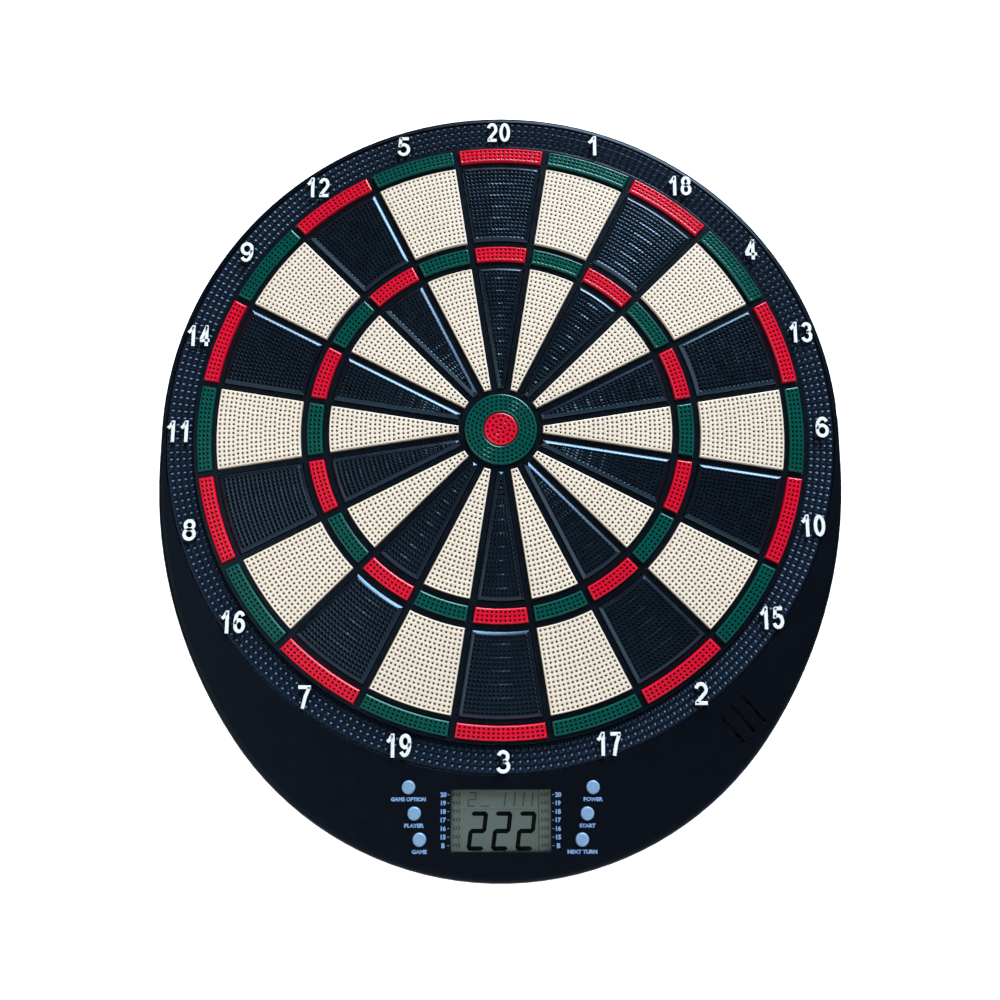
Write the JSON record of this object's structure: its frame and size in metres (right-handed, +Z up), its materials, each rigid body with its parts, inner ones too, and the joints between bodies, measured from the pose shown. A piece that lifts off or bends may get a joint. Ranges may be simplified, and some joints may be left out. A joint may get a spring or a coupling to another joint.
{
  "type": "electronic dartboard",
  "caption": "Wall-hung electronic soft-tip dartboard with sprung scoring segments, a display, push buttons and a battery box at the back.",
  "frame": {"origin": "on the wall face at the back, straight behind the middle of the bull", "axes": "+Z up, the board faces -Y towards the player, +X to the player's right, +Y into the wall"},
  "size_m": [0.383, 0.026, 0.4344],
  "materials": {
    "housing_plastic": "moulded ABS, satin gloss with fine moulding grain",
    "spider_plastic": "moulded nylon, satin",
    "ring_plastic": "moulded ABS, gloss",
    "black_segment": "moulded nylon, low gloss",
    "cream_segment": "moulded nylon, low gloss",
    "red_segment": "moulded nylon, low gloss",
    "green_segment": "moulded nylon, low gloss",
    "button_plastic": "moulded plastic keys, satin",
    "lens_plastic": "clear acrylic, polished",
    "display_glass": "grey-green liquid crystal glass, matt front film",
    "mat_rubber": "soft black rubber sheet",
    "film": "clear printed film",
    "board": "glass-fibre circuit board, satin",
    "component": "moulded black components",
    "key_rubber": "grey silicone rubber",
    "steel": "zinc-plated steel",
    "screw_steel": "black zinc-plated steel",
    "cell_wrap": "plain printed steel can",
    "foam": "closed-cell foam",
    "lead_cover": "flexible PVC",
    "plate_plastic": "rigid polystyrene sheet"
  },
  "bodies": {
    "housing": {"front_cover": "housing_plastic", "number_ring": "ring_plastic", "spider": "spider_plastic", "rear_cover": "housing_plastic", "battery_cells": "cell_wrap", "battery_springs": "steel", "battery_contacts": "steel", "return_mat": "mat_rubber", "contact_membrane": "film", "membrane_tails": "film", "backing_plate": "plate_plastic", "main_board": "board", "chip_cover": "component", "board_components": "component", "lcd_glass": "display_glass", "lcd_frame": "component", "zebra_strips": "key_rubber", "display_lens": "lens_plastic", "left_key_mat": "key_rubber", "right_key_mat": "key_rubber", "speaker": "component", "speaker_gasket": "foam", "speaker_leads": "lead_cover", "battery_leads": "lead_cover", "housing_screws": "screw_steel", "plate_screws": "screw_steel", "spider_screws": "screw_steel", "board_screws": "screw_steel"},
    "sector_20": {"sector_20": "black_segment"},
    "sector_01": {"sector_01": "cream_segment"},
    "sector_18": {"sector_18": "black_segment"},
    "sector_04": {"sector_04": "cream_segment"},
    "sector_13": {"sector_13": "black_segment"},
    "sector_06": {"sector_06": "cream_segment"},
    "sector_10": {"sector_10": "black_segment"},
    "sector_15": {"sector_15": "cream_segment"},
    "sector_02": {"sector_02": "black_segment"},
    "sector_17": {"sector_17": "cream_segment"},
    "sector_03": {"sector_03": "black_segment"},
    "sector_19": {"sector_19": "cream_segment"},
    "sector_07": {"sector_07": "black_segment"},
    "sector_16": {"sector_16": "cream_segment"},
    "sector_08": {"sector_08": "black_segment"},
    "sector_11": {"sector_11": "cream_segment"},
    "sector_14": {"sector_14": "black_segment"},
    "sector_09": {"sector_09": "cream_segment"},
    "sector_12": {"sector_12": "black_segment"},
    "sector_05": {"sector_05": "cream_segment"},
    "outer_bull": {"outer_bull": "green_segment"},
    "inner_bull": {"inner_bull": "red_segment"},
    "mode_button": {"mode_button": "button_plastic"},
    "players_button": {"players_button": "button_plastic"},
    "game_button": {"game_button": "button_plastic"},
    "power_button": {"power_button": "button_plastic"},
    "start_button": {"start_button": "button_plastic"},
    "next_button": {"next_button": "button_plastic"},
    "battery_door": {"battery_door": "housing_plastic"}
  },
  "joints": [
    {"name": "sector_20_press", "type": "slide", "parent": "housing", "child": "sector_20", "axis": [0, 1, 0], "range_m": [0, 0.0012], "stiffness_N_per_m": 3000},
    {"name": "sector_01_press", "type": "slide", "parent": "housing", "child": "sector_01", "axis": [0, 1, 0], "range_m": [0, 0.0012], "stiffness_N_per_m": 3000},
    {"name": "sector_18_press", "type": "slide", "parent": "housing", "child": "sector_18", "axis": [0, 1, 0], "range_m": [0, 0.0012], "stiffness_N_per_m": 3000},
    {"name": "sector_04_press", "type": "slide", "parent": "housing", "child": "sector_04", "axis": [0, 1, 0], "range_m": [0, 0.0012], "stiffness_N_per_m": 3000},
    {"name": "sector_13_press", "type": "slide", "parent": "housing", "child": "sector_13", "axis": [0, 1, 0], "range_m": [0, 0.0012], "stiffness_N_per_m": 3000},
    {"name": "sector_06_press", "type": "slide", "parent": "housing", "child": "sector_06", "axis": [0, 1, 0], "range_m": [0, 0.0012], "stiffness_N_per_m": 3000},
    {"name": "sector_10_press", "type": "slide", "parent": "housing", "child": "sector_10", "axis": [0, 1, 0], "range_m": [0, 0.0012], "stiffness_N_per_m": 3000},
    {"name": "sector_15_press", "type": "slide", "parent": "housing", "child": "sector_15", "axis": [0, 1, 0], "range_m": [0, 0.0012], "stiffness_N_per_m": 3000},
    {"name": "sector_02_press", "type": "slide", "parent": "housing", "child": "sector_02", "axis": [0, 1, 0], "range_m": [0, 0.0012], "stiffness_N_per_m": 3000},
    {"name": "sector_17_press", "type": "slide", "parent": "housing", "child": "sector_17", "axis": [0, 1, 0], "range_m": [0, 0.0012], "stiffness_N_per_m": 3000},
    {"name": "sector_03_press", "type": "slide", "parent": "housing", "child": "sector_03", "axis": [0, 1, 0], "range_m": [0, 0.0012], "stiffness_N_per_m": 3000},
    {"name": "sector_19_press", "type": "slide", "parent": "housing", "child": "sector_19", "axis": [0, 1, 0], "range_m": [0, 0.0012], "stiffness_N_per_m": 3000},
    {"name": "sector_07_press", "type": "slide", "parent": "housing", "child": "sector_07", "axis": [0, 1, 0], "range_m": [0, 0.0012], "stiffness_N_per_m": 3000},
    {"name": "sector_16_press", "type": "slide", "parent": "housing", "child": "sector_16", "axis": [0, 1, 0], "range_m": [0, 0.0012], "stiffness_N_per_m": 3000},
    {"name": "sector_08_press", "type": "slide", "parent": "housing", "child": "sector_08", "axis": [0, 1, 0], "range_m": [0, 0.0012], "stiffness_N_per_m": 3000},
    {"name": "sector_11_press", "type": "slide", "parent": "housing", "child": "sector_11", "axis": [0, 1, 0], "range_m": [0, 0.0012], "stiffness_N_per_m": 3000},
    {"name": "sector_14_press", "type": "slide", "parent": "housing", "child": "sector_14", "axis": [0, 1, 0], "range_m": [0, 0.0012], "stiffness_N_per_m": 3000},
    {"name": "sector_09_press", "type": "slide", "parent": "housing", "child": "sector_09", "axis": [0, 1, 0], "range_m": [0, 0.0012], "stiffness_N_per_m": 3000},
    {"name": "sector_12_press", "type": "slide", "parent": "housing", "child": "sector_12", "axis": [0, 1, 0], "range_m": [0, 0.0012], "stiffness_N_per_m": 3000},
    {"name": "sector_05_press", "type": "slide", "parent": "housing", "child": "sector_05", "axis": [0, 1, 0], "range_m": [0, 0.0012], "stiffness_N_per_m": 3000},
    {"name": "outer_bull_press", "type": "slide", "parent": "housing", "child": "outer_bull", "axis": [0, 1, 0], "range_m": [0, 0.0012], "stiffness_N_per_m": 3000},
    {"name": "inner_bull_press", "type": "slide", "parent": "housing", "child": "inner_bull", "axis": [0, 1, 0], "range_m": [0, 0.0012], "stiffness_N_per_m": 3000},
    {"name": "mode_button_press", "type": "slide", "parent": "housing", "child": "mode_button", "axis": [0, 1, 0], "range_m": [0, 0.0008], "stiffness_N_per_m": 800},
    {"name": "players_button_press", "type": "slide", "parent": "housing", "child": "players_button", "axis": [0, 1, 0], "range_m": [0, 0.0008], "stiffness_N_per_m": 800},
    {"name": "game_button_press", "type": "slide", "parent": "housing", "child": "game_button", "axis": [0, 1, 0], "range_m": [0, 0.0008], "stiffness_N_per_m": 800},
    {"name": "power_button_press", "type": "slide", "parent": "housing", "child": "power_button", "axis": [0, 1, 0], "range_m": [0, 0.0008], "stiffness_N_per_m": 800},
    {"name": "start_button_press", "type": "slide", "parent": "housing", "child": "start_button", "axis": [0, 1, 0], "range_m": [0, 0.0008], "stiffness_N_per_m": 800},
    {"name": "next_button_press", "type": "slide", "parent": "housing", "child": "next_button", "axis": [0, 1, 0], "range_m": [0, 0.0008], "stiffness_N_per_m": 800},
    {"name": "battery_door_hinge", "type": "hinge", "parent": "housing", "child": "battery_door", "pos_m": [0, -0.00175, -0.1851], "axis": [1, 0, 0], "range_deg": [0, 75]}
  ]
}
